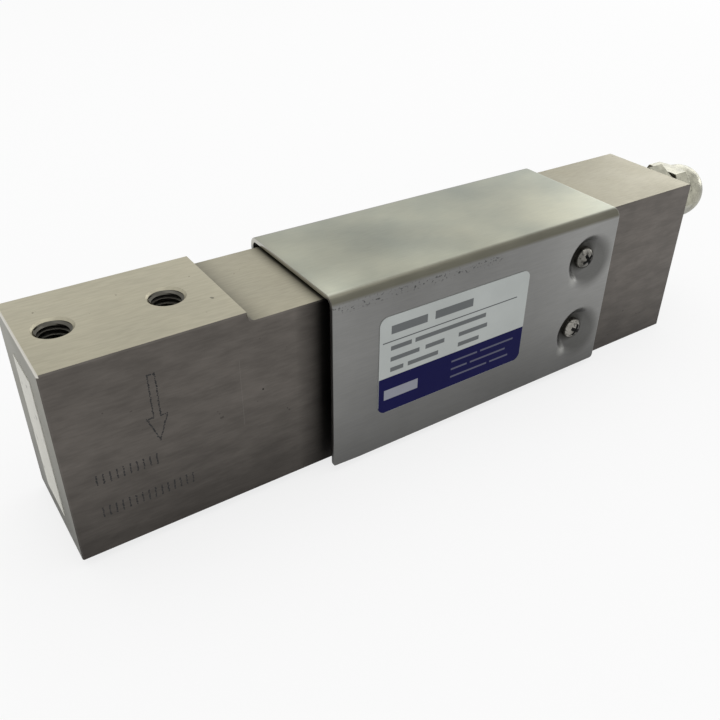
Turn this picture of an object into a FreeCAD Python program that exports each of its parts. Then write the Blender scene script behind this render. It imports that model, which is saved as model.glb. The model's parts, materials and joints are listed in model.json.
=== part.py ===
"""Single point load cell: machined spring element, folded sheet cover, gauges, board and cable gland.

Frame, in millimetres: +X runs from the live end to the fixed end, where the cable gland is; -Y is the
side that carries the rating label; +Z is up. The origin is the middle of the two threaded holes of the
fixed end, on the face of the base pad.
"""
import FreeCAD, Part
import math
import os

V = FreeCAD.Vector
X_AXIS = V(1, 0, 0)
Y_AXIS = V(0, 1, 0)
Z_AXIS = V(0, 0, 1)

# ---------------------------------------------------------------- spring element
body_length = 150.0
body_width = 25.0
overall_height = 40.0
live_pad_length = 34.0
live_pad_rise = 1.9            # live pad above the middle of the block
live_pad_fillet = 1.6
base_pad_length = 34.0
base_pad_drop = 1.5            # base pad below the rest of the underside
base_pad_fillet = 1.2
cover_land_length = 43.0       # raised top of the fixed end, which carries the cover
cover_land_rise = 0.4
edge_break = 0.25              # small chamfer along the long edges and the end edges
fillet_share = 0.85            # most of a step's height that its fillet may take
edge_share = 0.7               # most of the lowest step that a broken edge may take

# ---------------------------------------------------------------- binocular window, half way along
window_length = 48.0
flexure_thickness = 2.8

# ---------------------------------------------------------------- mounting holes, M6
mount_thread_r = 3.0           # major radius of the thread
mount_thread_depth = 15.0
mount_hole_chamfer = 0.45
mount_hole_to_end = 6.0
mount_hole_spacing = 19.0

# ---------------------------------------------------------------- folded cover
sheet_thickness = 1.0
cover_before_window = 2.3      # how far the cover reaches past the window towards the live end
cover_to_fixed_end = 28.0
cover_side_gap = 1.86          # between the side of the block and the sheet
cover_bend_outer_r = 2.0
cover_lower_edge = 1.4         # height of the cover's lower edges above the base pad
cover_corner_r = 0.8

# ---------------------------------------------------------------- cover screws, M3, in pressed dimples
screw_to_cover_end = 7.7
screw_spacing = 18.0
screw_thread_r = 1.5
screw_length = 7.0
screw_head_r = 2.8
screw_head_height = 1.9
screw_head_bevel = 0.33
screw_thread_clearance = 0.03
screw_sheet_clearance = 0.25
screw_hole_depth = 7.5
recess_width = 0.9
recess_span = 3.1
recess_depth = 1.2
recess_floor = 0.5             # length of a recess wing at its bottom
dimple_floor_r = 3.8
dimple_mouth_r = 5.6

# ---------------------------------------------------------------- strain gauges
gauge_thickness = 0.12
gauge_width = 5.0              # across the beam
gauge_arc = 26.0               # degrees of bore wall that the foil covers
tab_size = 1.1
tab_height = 0.5
tab_offset = 3.0               # from the middle of the gauge towards the middle of the window

# ---------------------------------------------------------------- terminal board and resistors
board_length = 24.0
board_width = 15.0
board_thickness = 1.6
resistor_length = 3.2
resistor_width = 1.6
resistor_height = 0.7
resistor_pitch_x = 4.6
resistor_pitch_y = 5.0

# ---------------------------------------------------------------- gauge leads
ribbon_width = 3.4
ribbon_thickness = 0.15
ribbon_foot = 2.0              # stretch beyond the fold that is soldered to the board

# ---------------------------------------------------------------- potting
potting_recess = 0.3           # below each side of the block

# ---------------------------------------------------------------- cable gland, M12
gland_height = 30.0            # gland axis above the base pad
gland_thread_r = 6.0
gland_thread_length = 8.0
gland_thread_clearance = 0.05
gland_hole_extra = 1.0         # depth of the gland's hole beyond its thread
cable_bore_r = 4.0
hex_across_flats = 15.0
hex_crown_angle = 30.0
body_hex_length = 4.6
body_hex_turn = 30.0           # degrees about the gland's axis; 0 has a flat on top
body_upper_r = 5.9
body_upper_length = 5.8
body_bore_r = 3.6
seal_seat_r = 4.9
seal_seat_depth = 6.0
seal_length = 7.4
seal_bore_r = 2.6              # for a cable of about 5 mm
seal_clearance = 0.05
nut_gap = 0.8                  # between the body's hexagon and the dome nut
nut_hex_length = 5.6
nut_hex_turn = 0.0
nut_dome_length = 6.2
nut_shoulder_r = 6.8
nut_end_r = 4.8
nut_mouth_r = 3.3
nut_thread_clearance = 0.05
nut_shoulder_reach = 0.9       # how far the nut reaches in over the end of the seal
nut_cone_length = 0.6
nut_cap_length = 2.0           # length of the cone at the outer end

# ---------------------------------------------------------------- labels
rating_label_size = (37.6, 22.0)
rating_label_centre = (29.0, 21.15)   # from the cover's end, and above the base pad
rating_label_corner_r = 1.8
end_label_size = (9.8, 28.4)
end_label_centre = (-0.2, 20.4)       # across the block, and above the base pad
label_thickness = 0.12

# ---------------------------------------------------------------- places that follow from the sizes
fixed_holes_to_end = mount_hole_to_end + mount_hole_spacing / 2
x_fixed_end = fixed_holes_to_end
x_live_end = x_fixed_end - body_length
y_side = body_width / 2
z_underside = base_pad_drop
z_middle_top = overall_height - live_pad_rise
z_land = z_middle_top + cover_land_rise
x_pad_step = x_live_end + live_pad_length
x_base_step = x_fixed_end - base_pad_length
x_land_step = x_fixed_end - cover_land_length

window_mid_z = (z_middle_top + z_underside) / 2
window_r = (z_middle_top - z_underside) / 2 - flexure_thickness
window_mid_x = (x_live_end + x_fixed_end) / 2
window_pitch = window_length - 2 * window_r
window_bores_x = (window_mid_x - window_pitch / 2, window_mid_x + window_pitch / 2)

cover_inner_y = y_side + cover_side_gap
cover_outer_y = cover_inner_y + sheet_thickness
cover_x = window_mid_x - window_length / 2 - cover_before_window
cover_end_x = x_fixed_end - cover_to_fixed_end
cover_top = z_land + sheet_thickness
cover_mid_z = (cover_lower_edge + cover_top) / 2
screw_x = cover_end_x - screw_to_cover_end
screw_heights = {"upper": cover_mid_z + screw_spacing / 2,
                 "lower": cover_mid_z - screw_spacing / 2}
board_top = window_mid_z + board_thickness / 2
board_bottom = window_mid_z - board_thickness / 2

gland_start = V(x_fixed_end, 0, gland_height)
upper_start = body_hex_length
upper_end = upper_start + body_upper_length
seal_start = upper_end - seal_seat_depth
seal_end = seal_start + seal_length
nut_start = upper_start + nut_gap
nut_dome_start = nut_start + nut_hex_length
nut_end = nut_dome_start + nut_dome_length
nut_cone_end = seal_end + nut_cone_length
hex_corner_r = hex_across_flats / math.sqrt(3)
seal_outer_r = seal_seat_r - seal_clearance


def cylinder(radius, length, start, axis):
    """Solid cylinder from a start point along an axis."""
    return Part.makeCylinder(radius, length, start, axis)


def box(x_range, y_range, z_range):
    """Solid box between two corners."""
    size = [high - low for low, high in (x_range, y_range, z_range)]
    return Part.makeBox(*size, V(x_range[0], y_range[0], z_range[0]))


def revolve_x(profile, centre):
    """Solid of revolution about a line along X: profile holds (distance along X, radius) pairs."""
    points = [centre + V(along, 0, radius) for along, radius in profile]
    face = Part.Face(Part.makePolygon(points + points[:1]))
    return face.revolve(centre, X_AXIS, 360)


def turned(profile, centre, axis):
    """Solid of revolution: profile holds (distance along the axis, radius) pairs from the centre."""
    side = V(axis.y, axis.z, axis.x)
    points = [centre + axis * along + side * radius for along, radius in profile]
    face = Part.Face(Part.makePolygon(points + points[:1]))
    return face.revolve(centre, axis, 360)


def fuse_all(solids):
    """One solid from several that touch or overlap, without seams."""
    whole = solids[0]
    for solid in solids[1:]:
        whole = whole.fuse(solid)
    return whole.removeSplitter()


def corner_fillet(points, radii):
    """Closed flat wire through points, each corner rounded by its own radius (0 keeps it sharp)."""
    edges = []
    count = len(points)
    ends = []
    for index in range(count):
        here = points[index]
        before = (points[index - 1] - here).normalize()
        after = (points[(index + 1) % count] - here).normalize()
        radius = radii[index]
        if radius == 0:
            ends.append((here, here, None))
            continue
        half = before.getAngle(after) / 2
        reach = radius / math.tan(half)
        bisector = (before + after).normalize()
        middle = here + bisector * (radius / math.sin(half) - radius)
        ends.append((here + before * reach, here + after * reach, middle))
    for index in range(count):
        start, stop, middle = ends[index]
        if middle is not None:
            edges.append(Part.Arc(start, middle, stop).toShape())
        following = ends[(index + 1) % count][0]
        edges.append(Part.LineSegment(stop, following).toShape())
    return Part.Wire(edges)


def threaded_hole_cutter(mouth, into):
    """Tool for a blind tapped hole: chamfer, and the thread at its major radius."""
    profile = [(0, 0), (0, mount_thread_r + mount_hole_chamfer), (mount_hole_chamfer, mount_thread_r),
               (mount_thread_depth, mount_thread_r), (mount_thread_depth, 0)]
    return turned(profile, mouth, into)


def block_profile():
    """Side outline of the spring element, with its pads and their fillets."""
    points = [V(x_live_end, 0, z_underside), V(x_live_end, 0, overall_height),
              V(x_pad_step, 0, overall_height), V(x_pad_step, 0, z_middle_top),
              V(x_land_step, 0, z_middle_top), V(x_land_step, 0, z_land),
              V(x_fixed_end, 0, z_land), V(x_fixed_end, 0, 0),
              V(x_base_step, 0, 0), V(x_base_step, 0, z_underside)]
    live_r = min(live_pad_fillet, fillet_share * live_pad_rise)
    base_r = min(base_pad_fillet, fillet_share * base_pad_drop)
    radii = [0, 0, 0, live_r, 0, 0, 0, 0, 0, base_r]
    return corner_fillet(points, radii)


def window_solid(half_width):
    """The binocular window: two bores across the block that run into each other."""
    bores = [cylinder(window_r, 2 * half_width, V(x, -half_width, window_mid_z), Y_AXIS)
             for x in window_bores_x]
    return bores[0].fuse(bores[1])


def make_spring_element():
    """Machined block with pads, binocular window, tapped holes and the cable's way out."""
    blank = Part.Face(block_profile()).extrude(V(0, body_width, 0))
    blank.translate(V(0, -y_side, 0))
    outline = [edge for edge in blank.Edges if abs(abs(edge.CenterOfMass.y) - y_side) < 1e-6]
    ends = [edge for edge in blank.Edges
            if abs(edge.CenterOfMass.y) < 1e-6 and edge.Curve.TypeId == "Part::GeomLine"
            and min(abs(edge.CenterOfMass.x - x_live_end), abs(edge.CenterOfMass.x - x_fixed_end)) < 1e-6]
    block = blank.makeChamfer(min(edge_break, cover_land_rise * edge_share), outline + ends)

    cutters = [window_solid(y_side + 1)]
    for offset in (0, mount_hole_spacing):
        live_mouth = V(x_live_end + mount_hole_to_end + offset, 0, overall_height)
        fixed_mouth = V(x_fixed_end - mount_hole_to_end - offset, 0, 0)
        cutters.append(threaded_hole_cutter(live_mouth, -Z_AXIS))
        cutters.append(threaded_hole_cutter(fixed_mouth, Z_AXIS))
    hole_r = screw_thread_r + screw_thread_clearance
    for side in (-1, 1):
        for height in screw_heights.values():
            mouth = V(screw_x, side * y_side, height)
            cutters.append(cylinder(hole_r, screw_hole_depth, mouth, V(0, -side, 0)))
    end_centre = V(x_fixed_end, 0, gland_height)
    bore_r = gland_thread_r + gland_thread_clearance
    way_length = x_fixed_end - window_mid_x
    hole_depth = gland_thread_length + gland_hole_extra
    cutters.append(cylinder(cable_bore_r, way_length, end_centre, -X_AXIS))
    cutters.append(cylinder(bore_r, hole_depth, end_centre, -X_AXIS))
    for cutter in cutters:
        block = block.cut(cutter)
    return block


def cover_profile(x):
    """Closed outline of the folded sheet, as an upside-down U, at one place along the cover."""
    inner_r = cover_bend_outer_r - sheet_thickness
    points = [V(x, -cover_outer_y, cover_lower_edge), V(x, -cover_outer_y, cover_top),
              V(x, cover_outer_y, cover_top), V(x, cover_outer_y, cover_lower_edge),
              V(x, cover_inner_y, cover_lower_edge), V(x, cover_inner_y, z_land),
              V(x, -cover_inner_y, z_land), V(x, -cover_inner_y, cover_lower_edge)]
    radii = [0, cover_bend_outer_r, cover_bend_outer_r, 0, 0, inner_r, inner_r, 0]
    return corner_fillet(points, radii)


def dimple(side, height):
    """Pressed dimple of one screw, and the round opening in the flange that it closes."""
    hole_r = screw_thread_r + screw_sheet_clearance
    floor = cover_side_gap
    profile = [(0, dimple_mouth_r), (floor, dimple_floor_r), (floor, hole_r),
               (floor + sheet_thickness, hole_r),
               (floor + sheet_thickness, dimple_floor_r), (sheet_thickness, dimple_mouth_r)]
    start = V(screw_x, side * cover_outer_y, height)
    inward = V(0, -side, 0)
    opening = cylinder(dimple_mouth_r, sheet_thickness, start, inward)
    return turned(profile, start, inward), opening


def make_cover():
    """Folded sheet cover with four pressed dimples and rounded lower corners."""
    sheet = Part.Face(cover_profile(cover_x)).extrude(V(cover_end_x - cover_x, 0, 0))
    for side in (-1, 1):
        for height in screw_heights.values():
            shell, opening = dimple(side, height)
            sheet = sheet.cut(opening).fuse(shell)
    sheet = sheet.removeSplitter()
    corners = [edge for edge in sheet.Edges
               if abs(edge.CenterOfMass.z - cover_lower_edge) < 1e-6
               and edge.Curve.TypeId == "Part::GeomLine" and edge.Length < 2 * sheet_thickness]
    return sheet.makeFillet(cover_corner_r, corners)


def make_cover_screw(side, height):
    """Pan head screw with a cross recess, seated on its dimple's floor."""
    inward = V(0, -side, 0)
    seat = V(screw_x, side * (y_side + sheet_thickness), height)
    profile = [(screw_length, 0), (screw_length, screw_thread_r), (0, screw_thread_r),
               (0, screw_head_r), (screw_head_bevel - screw_head_height, screw_head_r),
               (-screw_head_height, screw_head_r - screw_head_bevel), (-screw_head_height, 0)]
    screw = turned(profile, seat, inward)

    top = seat - inward * screw_head_height
    half_span = recess_span / 2
    half_floor = recess_floor / 2
    wing_profile = [V(-half_span, 0, 0), V(half_span, 0, 0), V(half_floor, 0, -recess_depth),
                    V(-half_floor, 0, -recess_depth)]
    wing = Part.Face(Part.makePolygon(wing_profile + wing_profile[:1])).extrude(V(0, recess_width, 0))
    wing.translate(V(0, -recess_width / 2, 0))
    cross = wing.fuse(wing.rotated(V(0, 0, 0), Z_AXIS, 90))
    cross = cross.rotated(V(0, 0, 0), Z_AXIS, 45)
    cross.Placement = FreeCAD.Placement(top, FreeCAD.Rotation(Z_AXIS, -inward)).multiply(cross.Placement)
    return screw.cut(cross)


def gauge_tab_face(upward):
    """Height of the inner face of a gauge's solder tabs."""
    reach = tab_offset + tab_size / 2
    wall = math.sqrt((window_r - gauge_thickness) ** 2 - reach ** 2)
    step = wall - tab_height
    return window_mid_z + step if upward else window_mid_z - step


def make_gauge(bore_x, inward, upward):
    """Foil strain gauge on the bore wall: curved foil on its backing, and its strip of solder tabs."""
    start = V(bore_x, -gauge_width / 2, window_mid_z)
    within = cylinder(window_r - gauge_thickness, gauge_width, start, Y_AXIS)
    ring = cylinder(window_r, gauge_width, start, Y_AXIS).cut(within)
    reach = window_r * math.sin(math.radians(gauge_arc / 2))
    face = gauge_tab_face(upward)
    wall_z = window_mid_z + (window_r if upward else -window_r)
    heights = (min(window_mid_z, wall_z), max(window_mid_z, wall_z))
    foil = ring.common(box((bore_x - reach, bore_x + reach), (-gauge_width, gauge_width), heights))
    tab_x = bore_x + inward * tab_offset
    strip = box((tab_x - tab_size / 2, tab_x + tab_size / 2), (-ribbon_width / 2, ribbon_width / 2),
                (min(face, wall_z), max(face, wall_z)))
    return fuse_all([foil, strip.common(within)])


def make_terminal_board():
    """Terminal board that lies in the middle of the window."""
    return box((window_mid_x - board_length / 2, window_mid_x + board_length / 2),
               (-board_width / 2, board_width / 2), (board_bottom, board_top))


def make_resistor(column, row):
    """Trimming resistor on the board's top face."""
    x = window_mid_x + column * resistor_pitch_x / 2
    y = row * resistor_pitch_y / 2
    return box((x - resistor_length / 2, x + resistor_length / 2),
               (y - resistor_width / 2, y + resistor_width / 2),
               (board_top, board_top + resistor_height))


def make_gauge_lead(bore_x, inward, upward):
    """Flat ribbon lead from one gauge's solder strip, folded to a foot on the board."""
    tab_z = gauge_tab_face(upward)
    board_z = board_top if upward else board_bottom
    foot_z = board_z + math.copysign(ribbon_thickness, tab_z - board_z)
    near_x = bore_x + inward * (tab_offset + ribbon_thickness / 2)
    far_x = near_x - inward * ribbon_thickness
    foot_x = far_x - inward * ribbon_foot
    half = ribbon_width / 2
    points = [V(near_x, -half, tab_z), V(near_x, -half, board_z), V(foot_x, -half, board_z),
              V(foot_x, -half, foot_z), V(far_x, -half, foot_z), V(far_x, -half, tab_z)]
    return Part.Face(Part.makePolygon(points + points[:1])).extrude(V(0, ribbon_width, 0))


def make_potting(buried):
    """Soft potting that fills the window round everything inside it."""
    filling = window_solid(y_side - potting_recess)
    for piece in buried:
        for solid in piece.Solids:
            filling = filling.cut(solid)
    return filling


def hexagon(start, length, turn):
    """Hexagonal bar along +X, turned about its own axis by some degrees from having a flat on top."""
    angles = [math.radians(60 * corner + turn) for corner in range(6)]
    points = [start + V(0, hex_corner_r * math.cos(angle), hex_corner_r * math.sin(angle))
              for angle in angles]
    return Part.Face(Part.makePolygon(points + points[:1])).extrude(V(length, 0, 0))


def make_gland_body():
    """Gland body: thread in the block, hexagon, and the seat that holds the seal."""
    pieces = [hexagon(gland_start, body_hex_length, body_hex_turn),
              cylinder(gland_thread_r, gland_thread_length, gland_start, -X_AXIS),
              cylinder(body_upper_r, upper_end, gland_start, X_AXIS)]
    bore_start = gland_start - X_AXIS * gland_thread_length
    body = fuse_all(pieces).cut(cylinder(body_bore_r, gland_thread_length + upper_end, bore_start, X_AXIS))
    seat_start = gland_start + X_AXIS * seal_start
    return body.cut(cylinder(seal_seat_r, seal_seat_depth, seat_start, X_AXIS))


def make_gland_seal():
    """Rubber sleeve in the body's seat, with the cable's bore."""
    start = gland_start + X_AXIS * seal_start
    sleeve = cylinder(seal_outer_r, seal_length, start, X_AXIS)
    return sleeve.cut(cylinder(seal_bore_r, seal_length, start, X_AXIS))


def make_gland_dome_nut():
    """Dome nut: crowned hexagon, dome, cone that squeezes the seal, and the cable's mouth."""
    flat_r = hex_across_flats / 2
    crown = (hex_corner_r - flat_r) * math.tan(math.radians(hex_crown_angle))
    limit = [(nut_start, 0), (nut_start, hex_corner_r), (nut_dome_start - crown, hex_corner_r),
             (nut_dome_start, flat_r), (nut_dome_start, 0)]
    bar = hexagon(gland_start + X_AXIS * nut_start, nut_hex_length, nut_hex_turn)
    bar = bar.common(revolve_x(limit, gland_start))
    outside = [(nut_dome_start, 0), (nut_dome_start, nut_shoulder_r),
               (nut_end - nut_cap_length, nut_shoulder_r), (nut_end, nut_end_r), (nut_end, 0)]
    thread_r = body_upper_r + nut_thread_clearance
    inside = [(nut_start, 0), (nut_start, thread_r), (seal_end, thread_r),
              (seal_end, seal_outer_r - nut_shoulder_reach), (nut_cone_end, nut_mouth_r),
              (nut_end, nut_mouth_r), (nut_end, 0)]
    return fuse_all([bar, revolve_x(outside, gland_start)]).cut(revolve_x(inside, gland_start))


def make_rating_label():
    """Rating label with rounded corners on the front flange of the cover."""
    from_cover_end, height = rating_label_centre
    half_w, half_h = rating_label_size[0] / 2, rating_label_size[1] / 2
    centre = V(cover_x + from_cover_end, -cover_outer_y, height)
    corners = [centre + V(-half_w, 0, -half_h), centre + V(-half_w, 0, half_h),
               centre + V(half_w, 0, half_h), centre + V(half_w, 0, -half_h)]
    outline = corner_fillet(corners, [rating_label_corner_r] * len(corners))
    return Part.Face(outline).extrude(-Y_AXIS * label_thickness)


def make_end_label():
    """Narrow label on the live end face."""
    across, height = end_label_centre
    half_w, half_h = end_label_size[0] / 2, end_label_size[1] / 2
    return box((x_live_end - label_thickness, x_live_end), (across - half_w, across + half_w),
               (height - half_h, height + half_h))


def build():
    """Every node of the load cell, by name."""
    nodes = {"spring_element": make_spring_element(), "cover": make_cover()}
    for side_name, side in (("front", -1), ("rear", 1)):
        for height_name, height in screw_heights.items():
            nodes[f"cover_screw_{side_name}_{height_name}"] = make_cover_screw(side, height)
    for end_name, bore_x, inward in (("live", window_bores_x[0], 1), ("fixed", window_bores_x[1], -1)):
        for wall_name, upward in (("top", True), ("bottom", False)):
            nodes[f"gauge_{end_name}_{wall_name}"] = make_gauge(bore_x, inward, upward)
            nodes[f"gauge_leads_{end_name}_{wall_name}"] = make_gauge_lead(bore_x, inward, upward)
    nodes["terminal_board"] = make_terminal_board()
    for number, (column, row) in enumerate(((-1, -1), (-1, 1), (1, -1), (1, 1)), start=1):
        nodes[f"trim_resistor_{number}"] = make_resistor(column, row)
    buried = [shape for name, shape in nodes.items()
              if name.startswith(("gauge_", "terminal_", "trim_"))]
    nodes["potting"] = make_potting(buried)
    nodes["gland_body"] = make_gland_body()
    nodes["gland_seal"] = make_gland_seal()
    nodes["gland_dome_nut"] = make_gland_dome_nut()
    nodes["rating_label"] = make_rating_label()
    nodes["end_label"] = make_end_label()
    return nodes


os.makedirs("parts", exist_ok=True)
for node, shape in build().items():
    shape.exportStep(f"parts/{node}.step")
    print(f"{node:26s} solids {len(shape.Solids)} volume {shape.Volume:12.3f} valid {shape.isValid()}")
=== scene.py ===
"""Looks of a single point load cell.

A stepped steel bar carries a folded sheet cover over its flexures, a rating label, four cover
screws, two tapped holes at each end and a cable gland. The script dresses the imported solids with
procedural finishes, adds the formed cover, screws, thread ridges, peened marks and dome nut, and
sets up a plain studio. Lengths are in millimetres unless a name says otherwise, and `MM` turns
them into metres.
"""

import json
import logging
import math
import random
from collections.abc import Callable, Iterable, Sequence
from dataclasses import dataclass, field
from enum import Enum
from functools import cache, cached_property, reduce
from typing import Protocol

import bmesh
import bpy
from bmesh.types import BMEdge, BMesh, BMFace, BMVert
from bpy.types import Material, Node, NodeSocket, NodeTree, Object
from mathutils import Euler, Matrix, Quaternion, Vector


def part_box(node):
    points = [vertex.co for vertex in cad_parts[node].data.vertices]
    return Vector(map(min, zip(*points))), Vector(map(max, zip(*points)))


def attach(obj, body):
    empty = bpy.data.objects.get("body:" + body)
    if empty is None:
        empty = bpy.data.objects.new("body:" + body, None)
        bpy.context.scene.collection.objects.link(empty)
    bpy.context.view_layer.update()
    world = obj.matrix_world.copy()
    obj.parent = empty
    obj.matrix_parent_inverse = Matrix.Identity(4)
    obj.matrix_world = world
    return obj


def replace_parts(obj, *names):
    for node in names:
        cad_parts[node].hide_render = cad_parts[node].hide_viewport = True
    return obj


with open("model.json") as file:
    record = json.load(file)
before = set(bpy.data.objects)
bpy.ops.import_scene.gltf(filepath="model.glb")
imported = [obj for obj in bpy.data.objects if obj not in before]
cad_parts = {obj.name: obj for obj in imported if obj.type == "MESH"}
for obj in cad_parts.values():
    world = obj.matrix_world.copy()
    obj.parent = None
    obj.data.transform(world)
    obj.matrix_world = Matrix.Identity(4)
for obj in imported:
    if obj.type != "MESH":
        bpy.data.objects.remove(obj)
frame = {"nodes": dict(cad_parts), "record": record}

LOG = logging.getLogger("load_cell")
MM = 0.001
BODY = "root"
# The cover screws of one side, and how far each cross is turned, in degrees.
SCREW_TURNS = {"upper": 32.0, "lower": 61.0}
# The Mix node's two colour inputs and its colour output.
MIX_FIRST, MIX_SECOND, MIX_RESULT = 6, 7, 2
# The spans that hold most of a noise's values, and nearly all of them.
NOISE_SPAN = (0.36, 0.64)
WIDE_NOISE_SPAN = (0.3, 0.7)
WHITE = (1.0, 1.0, 1.0, 1.0)
Triple = tuple[float, float, float]
Colour = Triple
Input = float | Sequence[float] | NodeSocket
Sockets = bpy.types.bpy_prop_collection
CornerPlace = Callable[[int], Vector]


class Side(Enum):
    """A long side of the bar, by the sign of Y that points out of it."""

    FRONT = -1
    REAR = 1


class Facing(Enum):
    """A direction that a face may look in."""

    UP = (0.0, 0.0, 1.0)
    LIVE_END = (-1.0, 0.0, 0.0)


@cache
def box(node: str) -> tuple[Vector, Vector]:
    """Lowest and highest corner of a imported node, in millimetres."""
    low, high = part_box(node)
    return low / MM, high / MM


def node_middle(node: str) -> Vector:
    """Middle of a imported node's box, in millimetres."""
    low, high = box(node)
    return (low + high) / 2


def hole_mouths(name: str) -> list[Vector]:
    """Middles of a bolt pattern's two hole mouths, in millimetres.

    Args:
        name: Name of the mount in the record.

    Returns:
        The two places, from the live end on.
    """
    mount = next(row for row in frame["record"]["mounts"] if row["name"] == name)
    half = Vector((mount["dims"]["spacing_x_mm"] / 2, 0.0, 0.0))
    middle = Vector(mount["pos_m"]) / MM
    return [middle - half, middle + half]


# --------------------------------------------------------------------------- shader building
class Tree:
    """A node tree with short calls for adding and linking nodes."""

    def __init__(self, tree: NodeTree) -> None:
        """Wrap the shader tree of a material or a node group."""
        self.tree = tree

    def add(self, kind: str, inputs: dict[str | int, Input] | None = None,
            **settings: object) -> Node:
        """Add a node.

        Args:
            kind: Name of the node's type.
            inputs: Values or sockets for the node's inputs, by name or number.
            **settings: Properties of the node itself.

        Returns:
            The new node.
        """
        node = self.tree.nodes.new(kind)
        for name, value in settings.items():
            setattr(node, name, value)
        for name, value in (inputs or {}).items():
            self.feed(node.inputs[name], value)
        return node

    def feed(self, socket: NodeSocket, value: Input) -> None:
        """Set or link an input.

        Args:
            socket: The input.
            value: Its new value, or the socket to link to it.
        """
        if isinstance(value, NodeSocket):
            self.tree.links.new(value, socket)
        else:
            socket.default_value = value

    def calc(self, operation: str, first: Input, second: Input = 0.0,
             clamp: bool = False) -> NodeSocket:
        """Combine two numbers, and keep the result between 0 and 1 if it is clamped."""
        return self.add("ShaderNodeMath", {0: first, 1: second}, operation=operation,
                        use_clamp=clamp).outputs[0]

    def times(self, first: Input, second: Input) -> NodeSocket:
        """Multiply two numbers."""
        return self.calc("MULTIPLY", first, second)

    def vector(self, operation: str, *values: Input) -> Sockets:
        """Work on one or two vectors, and give the node's outputs."""
        node = self.add("ShaderNodeVectorMath", dict(enumerate(values)), operation=operation)
        return node.outputs

    def split(self, vector: Input) -> Sockets:
        """Split a vector into X, Y and Z."""
        return self.add("ShaderNodeSeparateXYZ", {0: vector}).outputs

    def noise(self, place: Input, scale: Input, detail: float) -> NodeSocket:
        """Noise from 0 to 1."""
        inputs = {"Vector": place, "Scale": scale, "Detail": detail}
        return self.add("ShaderNodeTexNoise", inputs).outputs[0]

    def span(self, value: Input, low: Input, high: Input, to_low: float = 0.0,
             to_high: float = 1.0) -> NodeSocket:
        """Map a number from one span to another and keep it inside."""
        inputs = {"Value": value, "From Min": low, "From Max": high, "To Min": to_low,
                  "To Max": to_high}
        return self.add("ShaderNodeMapRange", inputs).outputs[0]

    def scaled(self, colour: Input, factor: Input) -> NodeSocket:
        """Multiply a colour by a number."""
        return self.add("ShaderNodeVectorMath", {0: colour, "Scale": factor},
                        operation="SCALE").outputs[0]

    def uneven(self, colour: Input, noise: NodeSocket, swing: float,
               span: tuple[float, float] = NOISE_SPAN) -> NodeSocket:
        """Darken and lighten a colour by up to a share, as a noise goes over its span."""
        return self.scaled(colour, self.span(noise, *span, 1.0 - swing, 1.0 + swing))

    def mix(self, factor: Input, first: Input, second: Input) -> NodeSocket:
        """Mix two colours by the share of the second one."""
        inputs = {0: factor, MIX_FIRST: rgba(first), MIX_SECOND: rgba(second)}
        return self.add("ShaderNodeMix", inputs, data_type="RGBA").outputs[MIX_RESULT]

    def lay(self, colour: Input, over: Input, mask: NodeSocket, share: float = 1.0) -> NodeSocket:
        """Lay a colour over another where a mask says, and at most by a share."""
        return self.mix(mask if share == 1.0 else self.times(mask, share), colour, over)


def rgba(colour: Input) -> Input:
    """Give a plain colour its fourth value, and leave a socket as it is."""
    return colour if isinstance(colour, NodeSocket) else (*colour, 1.0)


class Group(Tree):
    """A shader group in the making. All it puts out are numbers."""

    def __init__(self, name: str, vectors: Sequence[str], numbers: Sequence[str],
                 outputs: Sequence[str] = ("Mask",)) -> None:
        """Start the group.

        Args:
            name: Name of the group.
            vectors: Names of the inputs that take a vector.
            numbers: Names of the inputs that take a number.
            outputs: Names of the outputs.
        """
        super().__init__(bpy.data.node_groups.new(name, "ShaderNodeTree"))
        for labels, way, kind in ((vectors, "INPUT", "NodeSocketVector"),
                                  (numbers, "INPUT", "NodeSocketFloat"),
                                  (outputs, "OUTPUT", "NodeSocketFloat")):
            for label in labels:
                self.tree.interface.new_socket(label, in_out=way, socket_type=kind)
        self.given = self.add("NodeGroupInput").outputs
        self.result = self.add("NodeGroupOutput").inputs

    def masked(self, inside: NodeSocket) -> NodeTree:
        """Finish the group with a mask that rises over the softness inside a mark's edge.

        Args:
            inside: How far inside the edge a place lies.

        Returns:
            The finished group.
        """
        mask = self.calc("DIVIDE", inside, self.given["Softness"], clamp=True)
        self.feed(self.result["Mask"], mask)
        return self.tree


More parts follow.
